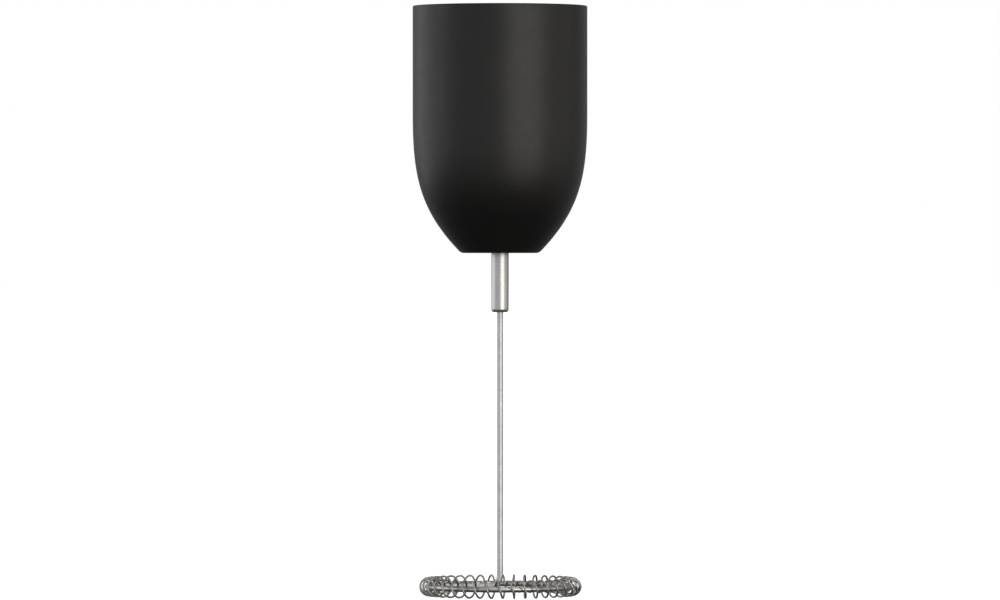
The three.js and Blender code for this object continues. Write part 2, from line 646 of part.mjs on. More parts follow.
const inputBush = bush(SHAFT_R + FIT, BUSH_LENGTH - 1.6);
const inputBushZ = COVER_BASE - COVER_HUB_DROP + FIT;
const shaftSeal = ringGeometry(SHAFT_R + 0.15, COVER_SEAL_R, FIT, COVER_SEAL_T - FIT);
const shaftSealZ = COVER_TOP + COVER_HUB_TOP - COVER_SEAL_T;
const spindleBush = bush(SPINDLE_R + FIT, BUSH_LENGTH - 2 * FIT);

const gearboxParts = group(
  named("gearbox_cover", gearboxCover(), GREY_CASE),
  named("gearbox_case", gearboxCase(), GREY_CASE),
  named("ring_gear", ringGear(), GEAR_ACETAL),
  named("input_bush", inputBush, BRONZE, [0, 0, inputBushZ]),
  named("shaft_seal", shaftSeal, SEAL_RUBBER, [0, 0, shaftSealZ]),
  named("upper_bush", spindleBush, BRONZE, [0, 0, CASE_FLOOR_TOP - BUSH_LENGTH]),
  named("lower_bush", spindleBush, BRONZE, [0, 0, HUB_BASE + FIT]),
);

const sunGear = externalGear(SUN_TEETH, GEAR_BASE, GEAR_TOP, SHAFT_R + FIT);
const sunSpacer = ringGeometry(SHAFT_R + FIT, 3.6, 0, 0.7);

const inputParts = group(
  named("drive_dog", driveDog(), BLACK_PA),
  named("input_shaft", inputShaft(), GROUND_STEEL),
  named("sun_gear", sunGear, GROUND_STEEL),
  named("dog_cross_pin", crossRod(CROSS_PIN_R, CROSS_PIN_LENGTH), GROUND_STEEL),
  named("sun_spacer", sunSpacer, BRONZE, [0, 0, GEAR_TOP + REST_GAP]),
);

const planetGear = externalGear(PLANET_TEETH, GEAR_BASE, GEAR_TOP, PIN_R + FIT);
const planetParts = threePlaces(PLANET_CIRCLE).map((place, i) =>
  group(named(`planet_gear_${i + 1}`, planetGear, GEAR_ACETAL, place)));

const planetPins = threePlaces(PLANET_CIRCLE, CARRIER_BASE).map((place, i) =>
  named(`planet_pin_${i + 1}`, planetPin(), GROUND_STEEL, place));
const carrierWasher = ringGeometry(SPINDLE_R + FIT, 9.4, 0, CARRIER_WASHER_T);
const spindleWasher = ringGeometry(SPINDLE_R + FIT, HUB_R - 0.2, 0, 0.5);

const outputParts = group(
  named("planet_carrier", carrier(), GROUND_STEEL),
  ...planetPins,
  named("carrier_washer", carrierWasher, BRONZE, [0, 0, CASE_FLOOR_TOP + REST_GAP]),
  named("output_spindle", outputSpindle(), GROUND_STEEL),
  named("stem_clip", stemClip(), SPRING_STEEL, [0, 0, GROOVE_Z]),
  named("spindle_washer", spindleWasher, BRONZE, [0, 0, HUB_BASE - 0.7]),
  named("spindle_clip", spindleClip(), SPRING_STEEL, [0, 0, CLIP_Z]),
);

const toolParts = group(
  named("tool_stem", toolStem(), STAINLESS),
  named("rod_and_spoke", rodAndSpoke(), STAINLESS),
  named("whisk_hoop", hoop(), STAINLESS),
  named("hoop_spring", hoopSpring(), SPRING_STEEL),
);

const frother = group(cupParts, gearboxParts, inputParts, ...planetParts, outputParts, toolParts);

export default frother;
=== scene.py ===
"""Looks of a hand blender's milk-frothing attachment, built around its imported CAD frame.

The cup, its socket, the screws and the whole frothing tool are rebuilt here as smooth, finished
meshes, and so are the plain turned parts of the gearbox. The gears and their case, the carrier,
the shafts and the clips keep their CAD meshes and get materials. Sizes are in millimetres until
a piece is published, when its mesh is scaled to the frame's metres. Heights are those of the CAD
frame, where zero is the cup's rim.
"""

import json
import logging
import math
from collections.abc import Callable, Iterable, Sequence
from dataclasses import dataclass
from enum import Enum

import bmesh
import bpy
from bmesh.types import BMEdge, BMesh, BMVert
from bpy.types import Material, Node, NodeSocket, NodeTree, Object
from mathutils import Matrix, Vector
from mathutils.geometry import interpolate_bezier


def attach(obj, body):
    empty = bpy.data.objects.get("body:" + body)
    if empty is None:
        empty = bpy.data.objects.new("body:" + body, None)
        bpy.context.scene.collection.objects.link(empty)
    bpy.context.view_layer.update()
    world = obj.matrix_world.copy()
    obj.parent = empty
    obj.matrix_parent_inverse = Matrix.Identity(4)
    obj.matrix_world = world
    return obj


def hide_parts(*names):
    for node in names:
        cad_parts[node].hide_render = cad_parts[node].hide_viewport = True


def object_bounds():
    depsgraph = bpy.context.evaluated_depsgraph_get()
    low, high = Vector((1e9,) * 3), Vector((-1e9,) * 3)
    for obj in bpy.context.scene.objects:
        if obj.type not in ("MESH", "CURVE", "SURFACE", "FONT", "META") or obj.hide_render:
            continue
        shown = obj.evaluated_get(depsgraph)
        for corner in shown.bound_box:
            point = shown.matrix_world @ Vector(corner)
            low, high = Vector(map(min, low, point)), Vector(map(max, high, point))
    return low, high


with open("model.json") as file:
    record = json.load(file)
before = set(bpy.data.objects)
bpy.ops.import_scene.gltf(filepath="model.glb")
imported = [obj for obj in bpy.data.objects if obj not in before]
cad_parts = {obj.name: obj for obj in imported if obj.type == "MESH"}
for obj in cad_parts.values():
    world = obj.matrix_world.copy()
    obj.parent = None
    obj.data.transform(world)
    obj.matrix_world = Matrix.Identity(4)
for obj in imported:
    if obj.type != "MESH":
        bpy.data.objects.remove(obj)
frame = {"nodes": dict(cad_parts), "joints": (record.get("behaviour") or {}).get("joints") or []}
CAD_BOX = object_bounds()
TOOL_TRAVEL = next(j["range_m"][1] for j in frame["joints"] if j["name"] == "tool_pull")

log = logging.getLogger("frother")

MM = 0.001
FULL_TURN = 2 * math.pi
QUARTER_TURN = math.pi / 2
THIRDS = [math.radians(90 + 120 * i) for i in range(3)]  # where screws and planets stand
BETWEEN_THIRDS = THIRDS[0] + FULL_TURN / 6
Profile = Sequence[tuple[float, ...]]

# Sizes that several sub-assemblies share, in millimetres. Circles, holes and wires give a radius.
SCREW_CIRCLE = 23.2
SCREW_HOLE = 1.5
SOCKET_FLOOR = -22.0
HOOP_RADIUS = 24.85
HOOP_WIRE = 1.0
HOOP_Z = -199.5

# How near two points are when they are one, as drawn and after a cut, and how thin a sliver is.
TOUCHING = 1e-4
CUT_TOUCHING = 0.002
SLIVER = 0.001
CLEAR = 6.0  # how far a cutter reaches past what it cuts

# Where nearly all of a noise texture's values lie, and where most of them do.
NOISE_SPAN = (0.3, 0.7)
NOISE_MIDDLE = (0.35, 0.65)


# ---- Colour and materials ----------------------------------------------------------------


def srgb(code: str) -> tuple[float, float, float, float]:
    """Turns an sRGB hex colour into the linear colour that the shaders take.

    Args:
        code: The colour, such as "#1d1d1e".

    Returns:
        Linear red, green and blue, and an alpha of one.
    """
    channels = [int(code[i : i + 2], 16) / 255 for i in (1, 3, 5)]
    linear = [c / 12.92 if c <= 0.04045 else ((c + 0.055) / 1.055) ** 2.4 for c in channels]
    return (*linear, 1.0)


def add_node(
    tree: NodeTree,
    kind: str,
    settings: dict[str, object] | None = None,
    links: dict[str, NodeSocket] | None = None,
) -> Node:
    """Adds one shader node with its settings and its links.

    Args:
        tree: The node tree that takes the node.
        kind: The node's type name.
        settings: Values by input name, or by property name where no input has it.
        links: The sockets that feed the node, by input name.

    Returns:
        The new node.
    """
    node = tree.nodes.new(kind)
    for name, value in (settings or {}).items():
        if name in node.inputs:
            node.inputs[name].default_value = value
        else:
            setattr(node, name, value)
    for name, socket in (links or {}).items():
        tree.links.new(socket, node.inputs[name])
    return node


def noise(
    tree: NodeTree, place: NodeSocket, size_mm: float, detail: float, roughness: float
) -> NodeSocket:
    """Adds a noise whose blotches are of a real size.

    Args:
        tree: The material's node tree.
        place: The coordinates that it is worked out from.
        size_mm: How wide a blotch is, in millimetres.
        detail: How many finer noises are laid over it.
        roughness: How strong the finer ones are.

    Returns:
        The noise's value, about 0.3 to 0.7.
    """
    settings = {"Scale": 1 / (size_mm * MM), "Detail": detail, "Roughness": roughness}
    return add_node(tree, "ShaderNodeTexNoise", settings, {"Vector": place}).outputs["Fac"]


class Grain(Enum):
    """How a surface was made, as how much its relief is squeezed along X, Y and Z."""

    EVEN = (1.0, 1.0, 1.0)  # the same all ways, as moulding, plating and sintering leave it
    TURNED = (0.04, 0.04, 1.0)  # fine rings round the axis
    DRAWN = (1.0, 1.0, 0.03)  # die lines along the wire


@dataclass(frozen=True)
class Finish:
    """A surface finish: one material, with colour drift, uneven gloss and fine relief.

    The colour drifts slowly between two near shades, the roughness runs between two values,
    and the relief is a noise of a real grain size, given by the way the surface was made.
    """

    label: str
    colour: str
    drift: str
    roughness: tuple[float, float]
    metallic: float = 0.0
    ior: float = 1.5
    grain: Grain = Grain.EVEN
    grain_mm: float = 0.4
    relief_mm: float = 0.004
    drift_mm: float = 14.0

    def material(self) -> Material:
        """Returns the finish's material, made the first time it is asked for."""
        made = bpy.data.materials.get(self.label)
        if made:
            return made
        made = bpy.data.materials.new(self.label)
        made.use_nodes = True
        tree = made.node_tree
        shader = tree.nodes["Principled BSDF"]
        shader.inputs["Metallic"].default_value = self.metallic
        if not self.metallic:
            shader.inputs["IOR"].default_value = self.ior
        place = add_node(tree, "ShaderNodeTexCoord").outputs["Object"]
        self._drift(tree, place, shader)
        self._relief(tree, place, shader)
        return made

    def _drift(self, tree: NodeTree, place: NodeSocket, shader: Node) -> None:
        """Feeds the shader its slowly drifting colour and its uneven roughness.

        Args:
            tree: The material's node tree.
            place: The object coordinates.
            shader: The material's shader.
        """
        slow = noise(tree, place, self.drift_mm, 3.0, 0.55)
        colours = add_node(tree, "ShaderNodeValToRGB", links={"Fac": slow})
        stops = colours.color_ramp.elements
        stops[0].position, stops[1].position = NOISE_MIDDLE
        stops[0].color, stops[1].color = srgb(self.colour), srgb(self.drift)
        tree.links.new(colours.outputs["Color"], shader.inputs["Base Color"])
        wear = noise(tree, place, 0.3 * self.drift_mm, 6.0, 0.65)
        span = {
            "From Min": NOISE_SPAN[0],
            "From Max": NOISE_SPAN[1],
            "To Min": self.roughness[0],
            "To Max": self.roughness[1],
        }
        gloss = add_node(tree, "ShaderNodeMapRange", span, {"Value": wear})
        tree.links.new(gloss.outputs["Result"], shader.inputs["Roughness"])

    def _relief(self, tree: NodeTree, place: NodeSocket, shader: Node) -> None:
        """Feeds the shader its fine relief.

        Args:
            tree: The material's node tree.
            place: The object coordinates.
            shader: The material's shader.
        """
        along = {"Scale": self.grain.value}
        squeezed = add_node(tree, "ShaderNodeMapping", along, {"Vector": place}).outputs["Vector"]
        fine = noise(tree, squeezed, self.grain_mm, 2.0, 0.5)
        depth = {"Strength": 1.0, "Distance": self.relief_mm * MM}
        bump = add_node(tree, "ShaderNodeBump", depth, {"Height": fine})
        tree.links.new(bump.outputs["Normal"], shader.inputs["Normal"])


# Moulded ABS: a spark-eroded mould leaves a satin skin that blurs what it mirrors into bands.
# The grain is drawn at 0.45 mm, coarser than the real 0.1 mm, so that it shows.
SATIN_ABS = Finish(
    "abs_black_spark_eroded", "#131211", "#171614", (0.36, 0.42), ior=1.45,
    grain_mm=0.45, relief_mm=0.003,
)
# Moulded nylon: a little rougher and bluer than the ABS, and with a coarser grain.
MOULDED_NYLON = Finish(
    "nylon_black_moulded", "#19191b", "#202022", (0.38, 0.5), ior=1.53,
    grain_mm=0.6, relief_mm=0.006,
)
# Glass-filled nylon: the fibres leave it grey and faintly mottled.
GREY_NYLON = Finish(
    "nylon_grey_glass_filled", "#85888a", "#94979a", (0.45, 0.6), ior=1.53,
    grain_mm=0.5, relief_mm=0.008, drift_mm=4.0,
)
# Acetal: milky, slightly waxy gears.
ACETAL = Finish(
    "acetal_white_moulded", "#e6e2d6", "#efece2", (0.35, 0.45), ior=1.48,
    grain_mm=0.5, relief_mm=0.004, drift_mm=6.0,
)
# Polished stainless steel, turned: bright, with fine rings left by the polishing belt.
POLISHED_STEEL = Finish(
    "stainless_steel_turned_polished", "#c8c7c5", "#bfbebc", (0.25, 0.31), metallic=1.0,
    grain=Grain.TURNED, grain_mm=0.25, relief_mm=0.0001, drift_mm=5.0,
)
# Straightened stainless wire: the rollers leave it satin, with faint lines along it.
SATIN_WIRE = Finish(
    "stainless_wire_straightened_satin", "#d6d7d8", "#cacbcc", (0.42, 0.5), metallic=1.0,
    grain=Grain.DRAWN, grain_mm=0.3, relief_mm=0.00015, drift_mm=6.0,
)
# Drawn stainless wire: brighter, with die lines along it.
DRAWN_WIRE = Finish(
    "stainless_wire_drawn", "#cac9c7", "#b8b7b4", (0.26, 0.34), metallic=1.0,
    grain=Grain.DRAWN, grain_mm=0.3, relief_mm=0.0003, drift_mm=6.0,
)
# Spring wire: drawn too, but darker and less even after coiling and heat.
SPRING_WIRE = Finish(
    "spring_steel_wire_coiled", "#b8b6b3", "#a19f9b", (0.28, 0.4), metallic=1.0,
    grain_mm=0.35, relief_mm=0.001, drift_mm=5.0,
)
# Welded steel: a small rough bead with a straw tint.
WELD_STEEL = Finish(
    "stainless_steel_weld_bead", "#a89f8e", "#8b8378", (0.3, 0.5), metallic=1.0,
    grain_mm=0.4, relief_mm=0.02, drift_mm=1.5,
)
# Ground steel: shafts and pins with a fine, even scratch.
GROUND_STEEL = Finish(
    "steel_shaft_ground", "#a9abae", "#9a9c9f", (0.22, 0.34), metallic=1.0,
    grain=Grain.TURNED, grain_mm=0.3, relief_mm=0.001, drift_mm=4.0,
)
# Zinc plate: bright and faintly blue, on small screws.
ZINC_PLATE = Finish(
    "steel_screw_zinc_plated", "#b9bdc2", "#a8abae", (0.2, 0.32), metallic=1.0,
    grain_mm=0.3, relief_mm=0.001, drift_mm=2.0,
)
# Sintered bronze: pressed powder, so it is dull and finely pitted.
SINTERED_BRONZE = Finish(
    "bronze_sintered", "#a97e49", "#8f6839", (0.4, 0.55), metallic=1.0,
    grain_mm=0.25, relief_mm=0.01, drift_mm=2.0,
)
# Nitrile rubber: soft, matt, dark.
NITRILE_RUBBER = Finish(
    "nitrile_rubber_moulded", "#141414", "#1b1b1b", (0.6, 0.75), ior=1.52,
    grain_mm=0.4, relief_mm=0.01, drift_mm=3.0,
)


# ---- Making meshes -----------------------------------------------------------------------


def turned(profile: Profile, steps: int = 96) -> BMesh:
    """Spins a profile about Z into a closed solid.

    Args:
        profile: Points of radius and height, with a rounding as a third number where the
            corner has one. It closes on the axis, or else on itself.
        steps: How many steps the full turn takes.

    Returns:
        The solid, in millimetres.
    """
    bm = bmesh.new()
    points = [bm.verts.new((p[0], 0.0, p[1])) for p in profile]
    open_ended = profile[0][0] == 0 and profile[-1][0] == 0
    following = points[1:] if open_ended else points[1:] + points[:1]
    for start, end in zip(points, following):
        bm.edges.new((start, end))
    for size in sorted({p[2] for p in profile if len(p) > 2}):
        corners = [v for v, p in zip(points, profile) if len(p) > 2 and p[2] == size]
        bmesh.ops.bevel(
            bm, geom=corners, offset=size, segments=4, profile=0.5, affect="VERTICES", material=-1
        )
    spin_shut(bm, steps)
    return bm


def close_up(bm: BMesh) -> None:
    """Merges a mesh's doubled points and turns its faces outwards."""
    bmesh.ops.remove_doubles(bm, verts=bm.verts, dist=TOUCHING)
    bmesh.ops.recalc_face_normals(bm, faces=bm.faces)


def spin_shut(bm: BMesh, steps: int) -> None:
    """Spins all that a mesh holds once round Z, and closes it on itself.

    Args:
        bm: The mesh, which holds a section.
        steps: How many steps the full turn takes.
    """
    bmesh.ops.spin(
        bm,
        geom=bm.verts[:] + bm.edges[:],
        cent=(0, 0, 0),
        axis=(0, 0, 1),
        angle=FULL_TURN,
        steps=steps,
        use_merge=True,
    )
    close_up(bm)


def cylinder(radius: float, low: float, high: float) -> BMesh:
    """Returns a plain cylinder on Z, as the cutter of a small hole."""
    return turned([(0, low), (radius, low), (radius, high), (0, high)], steps=24)


def wire_section(
    radius: float, segments: int, place: Sequence[float], filled: bool = False
) -> BMesh:
    """Draws the round section of a wire that runs along Y.

    Args:
        radius: The wire's radius.
        segments: How many sides it is drawn with.
        place: Where its centre is.
        filled: Whether the section has a face.

    Returns:
        The section, in millimetres.
    """
    bm = bmesh.new()
    bmesh.ops.create_circle(bm, cap_ends=filled, radius=radius, segments=segments)
    upright = Matrix.Rotation(QUARTER_TURN, 3, "X")
    bmesh.ops.rotate(bm, cent=(0, 0, 0), matrix=upright, verts=bm.verts)
    bmesh.ops.translate(bm, vec=place, verts=bm.verts)
    return bm


def prism(outline: Iterable[Sequence[float]], low: float, high: float) -> BMesh:
    """Raises an outline along Z.

    Args:
        outline: Points of X and Y, in order round the outline.
        low: Height of the lower face.
        high: Height of the upper face.

    Returns:
        The solid, in millimetres.
    """
    bm = bmesh.new()
    base = bm.faces.new([bm.verts.new((x, y, low)) for x, y in outline])
    raised = bmesh.ops.extrude_face_region(bm, geom=[base])["geom"]
    upper = [g for g in raised if isinstance(g, BMVert)]
    bmesh.ops.translate(bm, vec=(0, 0, high - low), verts=upper)
    bmesh.ops.recalc_face_normals(bm, faces=bm.faces)
    return bm


def block(size: Sequence[float], centre: Sequence[float], rounding: float = 0.0) -> BMesh:
    """Makes a block with rounded edges.

    Args:
        size: Its length along X, Y and Z.
        centre: Where its middle is.
        rounding: How far its edges are rounded, or none.

    Returns:
        The solid, in millimetres.
    """
    bm = bmesh.new()
    bmesh.ops.create_cube(bm, size=1.0)
    bmesh.ops.scale(bm, vec=size, verts=bm.verts)
    bmesh.ops.translate(bm, vec=centre, verts=bm.verts)
    if rounding:
        round_edges(bm, bm.edges[:], rounding)
    return bm


def round_edges(bm: BMesh, edges: list[BMEdge], size: float, segments: int = 3) -> None:
    """Rounds some of a mesh's edges.

    Args:
        bm: The mesh.
        edges: The edges to round.
        size: How far the rounding reaches from each edge.
        segments: How many faces it takes.
    """
    bmesh.ops.bevel(
        bm,
        geom=edges,
        offset=size,
        segments=segments,
        profile=0.5,
        affect="EDGES",
        clamp_overlap=True,
        material=-1,
    )


class Join(Enum):
    """How two solids are combined."""

    ADD = "UNION"
    CUT = "DIFFERENCE"
    KEEP = "INTERSECT"


def combine(base: BMesh, how: Join, tools: Iterable[BMesh]) -> BMesh:
    """Combines a solid with others, one after the other. All of them are used up.

    Args:
        base: The solid to start from.
        how: Whether the others are added, cut away, or what is kept lies inside them.
        tools: The other solids.

    Returns:
        The combined solid.
    """
    for tool in tools:
        pair = []
        for bm in (base, tool):
            mesh = bpy.data.meshes.new("combining")
            bm.to_mesh(mesh)
            bm.free()
            pair.append(bpy.data.objects.new("combining", mesh))
            bpy.context.scene.collection.objects.link(pair[-1])
        modifier = pair[0].modifiers.new("combining", "BOOLEAN")
        modifier.operation = how.value
        modifier.solver = "EXACT"
        modifier.object = pair[1]
        shaped = pair[0].evaluated_get(bpy.context.evaluated_depsgraph_get())
        base = bmesh.new()
        base.from_mesh(shaped.to_mesh())
        bmesh.ops.remove_doubles(base, verts=base.verts, dist=CUT_TOUCHING)
        bmesh.ops.dissolve_degenerate(base, edges=base.edges, dist=SLIVER)
        for obj in pair:
            bpy.data.meshes.remove(obj.data)
    return base


def three_round(
    make: Callable[[], BMesh], radius: float = 0.0, start: float = THIRDS[0]
) -> list[BMesh]:
    """Makes a solid three times, a third of a turn apart.

    Args:
        make: Makes the solid, as it stands on +X.
        radius: How far out along X it is moved first.
        start: The angle of the first one.

    Returns:
        The three solids.
    """
    copies = []
    outwards = Matrix.Translation((radius, 0, 0))
    for i in range(3):
        bm = make()
        around = Matrix.Rotation(start + i * FULL_TURN / 3, 4, "Z")
        bmesh.ops.transform(bm, matrix=around @ outwards, verts=bm.verts)
        copies.append(bm)
    return copies


def publish(
    bm: BMesh,
    name: str,
    body: str,
    finish: Finish,
    nodes: Sequence[str],
    crease_deg: float = 32.0,
) -> Object:
    """Turns a finished solid into a piece of the object.

    Args:
        bm: The solid, in millimetres. It is used up.
        name: The piece's name.
        body: The CAD body that it rides on.
        finish: What it is made of.
        nodes: The CAD nodes that it stands for.
        crease_deg: The angle above which an edge is drawn sharp.

    Returns:
        The piece.
    """
    bmesh.ops.scale(bm, vec=(MM, MM, MM), verts=bm.verts)
    mesh = bpy.data.meshes.new(name)
    bm.to_mesh(mesh)
    bm.free()
    mesh.materials.append(finish.material())
    mesh.shade_smooth()
    mesh.set_sharp_from_angle(angle=math.radians(crease_deg))
    piece = bpy.data.objects.new(name, mesh)
    bpy.context.scene.collection.objects.link(piece)
    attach(piece, body)
    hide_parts(*nodes)
    stood_for = ", ".join(nodes) or "no CAD node"
    log.info("%s: %d faces, stands for %s", name, len(mesh.polygons), stood_for)
    return piece


# ---- The cup and its socket --------------------------------------------------------------


@dataclass(frozen=True)
class CupShell:
    """The black cup: a straight wall that curves in to a rounded nose with a flat end."""

    radius: float = 30.0
    depth: float = 84.9
    wall: float = 2.4
    curve_start: float = 37.3
    curve_handle: float = 20.8
    nose_radius: float = 13.4
    nose_handle: float = 20.5
    nose_slope: float = math.radians(45.5)
    floor: float = 3.0
    seal_radius: float = 7.5
    seal_depth: float = 2.0
    hole_in_nose: float = 4.0
    collar_radius: float = 8.5
    collar_height: float = 9.0
    ring_step: float = 4.6  # between the rings of faces up the straight wall
    post_radius: float = 2.8
    post_top: float = -27.0
    post_length: float = 14.0
    web: tuple[float, float] = (3.6, 4.0)  # along the radius, and across it
    web_centre: float = 2.9
    web_drop: float = 0.3
    hole_depth: float = 10.5
    drill_tip: float = 0.8

    def build(self) -> Object:
        """Builds and dresses the cup, and returns it."""
        shell = turned(self._profile(), steps=160)
        shell = combine(shell, Join.ADD, three_round(self._post, SCREW_CIRCLE))
        shell = combine(shell, Join.CUT, three_round(self._hole, SCREW_CIRCLE))
        return publish(shell, "cup_shell", "cup", SATIN_ABS, ["outer_cup"])

    def _curve(self, inset: float, count: int, lowest: float) -> list[tuple[float, float]]:
        """Works out the wall's curved part.

        Args:
            inset: How far inside the outer surface it runs.
            count: How many points it is drawn with.
            lowest: The height at which it stops.

        Returns:
            Points of radius and height, from the top down.
        """
        fineness = 6
        back = Vector((math.cos(self.nose_slope), math.sin(self.nose_slope)))
        nose = Vector((self.nose_radius, -self.depth))
        fine = interpolate_bezier(
            Vector((self.radius, -self.curve_start)),
            Vector((self.radius, -self.curve_start - self.curve_handle)),
            nose + back * self.nose_handle,
            nose,
            fineness * count,
        )
        ends = zip(fine, fine[1:] + [2 * fine[-1] - fine[-2]])
        along = [(a, (b - a).normalized()) for a, b in ends]
        points = [(p.x + d.y * inset, p.y - d.x * inset) for p, d in along]
        kept = [p for p in points if p[1] >= lowest]
        return kept[::fineness] + ([kept[-1]] if (len(kept) - 1) % fineness else [])

    def _profile(self) -> list[tuple[float, ...]]:
        """Returns the cup's section, anticlockwise from its nose."""
        nose, floor = -self.depth, -self.depth + self.floor
        collar = floor + self.collar_height
        outside = self._curve(0.0, 30, nose + 0.02)[::-1]
        inside = self._curve(self.wall, 12, floor + 0.9)
        return [
            (self.seal_radius, nose, 0.25),
            (self.nose_radius, nose, 0.9),
            *outside[1:-1],
            (self.radius, -self.curve_start),
            *[(self.radius, -self.curve_start + self.ring_step * i) for i in range(1, 8)],
            (self.radius, 0.0, 0.4),
            (self.radius - self.wall, 0.0, 0.35),
            *inside,
            (inside[-1][0] - 1.1, floor),
            (self.collar_radius + 2.1, floor, 0.4),
            (self.collar_radius + 1.9, collar, 0.3),
            (self.collar_radius, collar, 0.3),
            (self.collar_radius, floor),
            (self.hole_in_nose, floor, 0.2),
            (self.hole_in_nose, nose + self.seal_depth, 0.2),
            (self.seal_radius, nose + self.seal_depth),
        ]

    def _post(self) -> BMesh:
        """Returns one screw post with the web that ties it to the wall."""
        radius, top = self.post_radius, self.post_top
        low = top - self.post_length
        post = turned([(0, low), (radius, low, 0.4), (radius, top, 0.2), (0, top)], 32)
        tall = self.post_length - 2 * self.web_drop
        web = block((*self.web, tall), (self.web_centre, 0, (low + top) / 2))
        return combine(post, Join.ADD, [web])

    def _hole(self) -> BMesh:
        """Returns the cutter of one screw hole."""
        low = self.post_top - self.hole_depth
        return turned([(0, low - self.drill_tip), (SCREW_HOLE, low), (SCREW_HOLE, 0), (0, 0)], 24)


@dataclass(frozen=True)
class LockRing:
    """The nylon ring in the mouth of the cup: three bayonet lugs, and a flange for the screws."""

    radius: float = 27.5
    wall: float = 1.4
    top: float = -1.6
    floor: float = SOCKET_FLOOR
    flange: float = 2.2
    flange_radius: float = 17.5
    lug_depth: float = 2.6
    lug_top: float = -7.0
    lug_height: float = 3.0
    lug_angle: float = math.radians(26)
    lead_in: float = 0.9
    sink_radius: float = 2.6
    sink_depth: float = 1.3

    def build(self) -> Object:
        """Builds and dresses the lock ring, and returns it."""
        inner, base = self.radius - self.wall, self.floor - self.flange
        ring = turned(
            [
                (self.flange_radius, base, 0.2),
                (self.radius, base, 0.4),
                (self.radius, self.top, 0.3),
                (inner, self.top, 0.5),
                (inner, self.floor, 0.5),
                (self.flange_radius, self.floor, 0.4),
            ],
            steps=128,
        )
        ring = combine(ring, Join.ADD, three_round(self._lug, 0.0, BETWEEN_THIRDS))
        ring = combine(ring, Join.CUT, three_round(self._countersink, SCREW_CIRCLE))
        return publish(ring, "bayonet_ring", "cup", MOULDED_NYLON, ["lock_ring"])

    def _lug(self) -> BMesh:
        """Returns one bayonet lug, with rounded edges and a lead-in ramp under its front end."""
        outer = self.radius - self.wall / 2
        inner = self.radius - self.wall - self.lug_depth
        low = self.lug_top - self.lug_height
        bm = bmesh.new()
        corners = [(inner, low), (outer, low), (outer, self.lug_top), (inner, self.lug_top)]
        face = bm.faces.new([bm.verts.new((r, 0, z)) for r, z in corners])
        back = Matrix.Rotation(-self.lug_angle / 2, 3, "Z")
        bmesh.ops.rotate(bm, cent=(0, 0, 0), matrix=back, verts=bm.verts)
        start = face.verts[:]
        bmesh.ops.spin(
            bm,
            geom=[face],
            cent=(0, 0, 0),
            axis=(0, 0, 1),
            angle=self.lug_angle,
            steps=12,
            use_merge=False,
        )
        close_up(bm)
        ramp = [v for v in start if v.is_valid and v.co.z < low + 0.1]
        bmesh.ops.translate(bm, vec=(0, 0, self.lead_in), verts=ramp)
        corner = math.radians(35)
        sharp = [e for e in bm.edges if len(e.link_faces) == 2 and e.calc_face_angle() > corner]
        round_edges(bm, sharp, 0.3, 2)
        return bm

    def _countersink(self) -> BMesh:
        """Returns the cutter of one screw hole, with its countersink."""
        top = self.floor
        return turned(
            [
                (0, top - CLEAR),
                (SCREW_HOLE, top - CLEAR),
                (SCREW_HOLE, top - self.sink_depth),
                (self.sink_radius, top - 0.1),
                (self.sink_radius, top + 1),
                (0, top + 1),
            ],
            steps=32,
        )


@dataclass(frozen=True)
class ChassisScrews:
    """Three countersunk screws with a cross recess."""

    head_top: float = SOCKET_FLOOR
    head_radius: float = 2.5
    head_height: float = 1.2
    radius: float = 1.4
    length: float = 13.0
    tip_length: float = 1.6
    pitch: float = 0.9
    thread_depth: float = 0.22
    recess: tuple[float, float, float] = (2.7, 0.62, 1.9)
    recess_taper: float = 0.55

    def build(self) -> list[Object]:
        """Builds and dresses the screws, and returns them."""
        made = []
        for number, solid in enumerate(three_round(self._screw, SCREW_CIRCLE), start=1):
            bmesh.ops.translate(solid, vec=(0, 0, self.head_top), verts=solid.verts)
            name, node = f"cross_head_screw_{number}", f"chassis_screw_{number}"
            made.append(publish(solid, name, "cup", ZINC_PLATE, [node]))
        return made

    def _screw(self) -> BMesh:
        """Returns one screw with its head's top at zero: a threaded shank and a crossed recess."""
        shank, root = self.radius, self.radius - self.thread_depth
        thread = []
        height = -self.length + self.tip_length
        while height < -self.head_height - 1.2:
            thread += [(root, height, 0.04), (shank, height + self.pitch / 2, 0.04)]
            height += self.pitch
        solid = turned(
            [
                (0, -self.length),
                (0.35, -self.length, 0.1),
                (shank - 0.4, -self.length + 1.1),
                *thread,
                (shank - 0.1, -self.head_height - 0.4),
                (shank - 0.1, -self.head_height, 0.15),
                (self.head_radius, -0.16, 0.06),
                (self.head_radius, 0.0, 0.06),
                (0, 0),
            ],
            steps=40,
        )
        long, narrow, deep = self.recess
        arms = [block(size, (0, 0, 0), 0.12) for size in ((long, narrow, deep), (narrow, long, deep))]
        for arm in arms:
            inner = [v for v in arm.verts if v.co.z < 0]
            bmesh.ops.scale(arm, vec=(self.recess_taper, self.recess_taper, 1), verts=inner)
        return combine(solid, Join.CUT, arms)


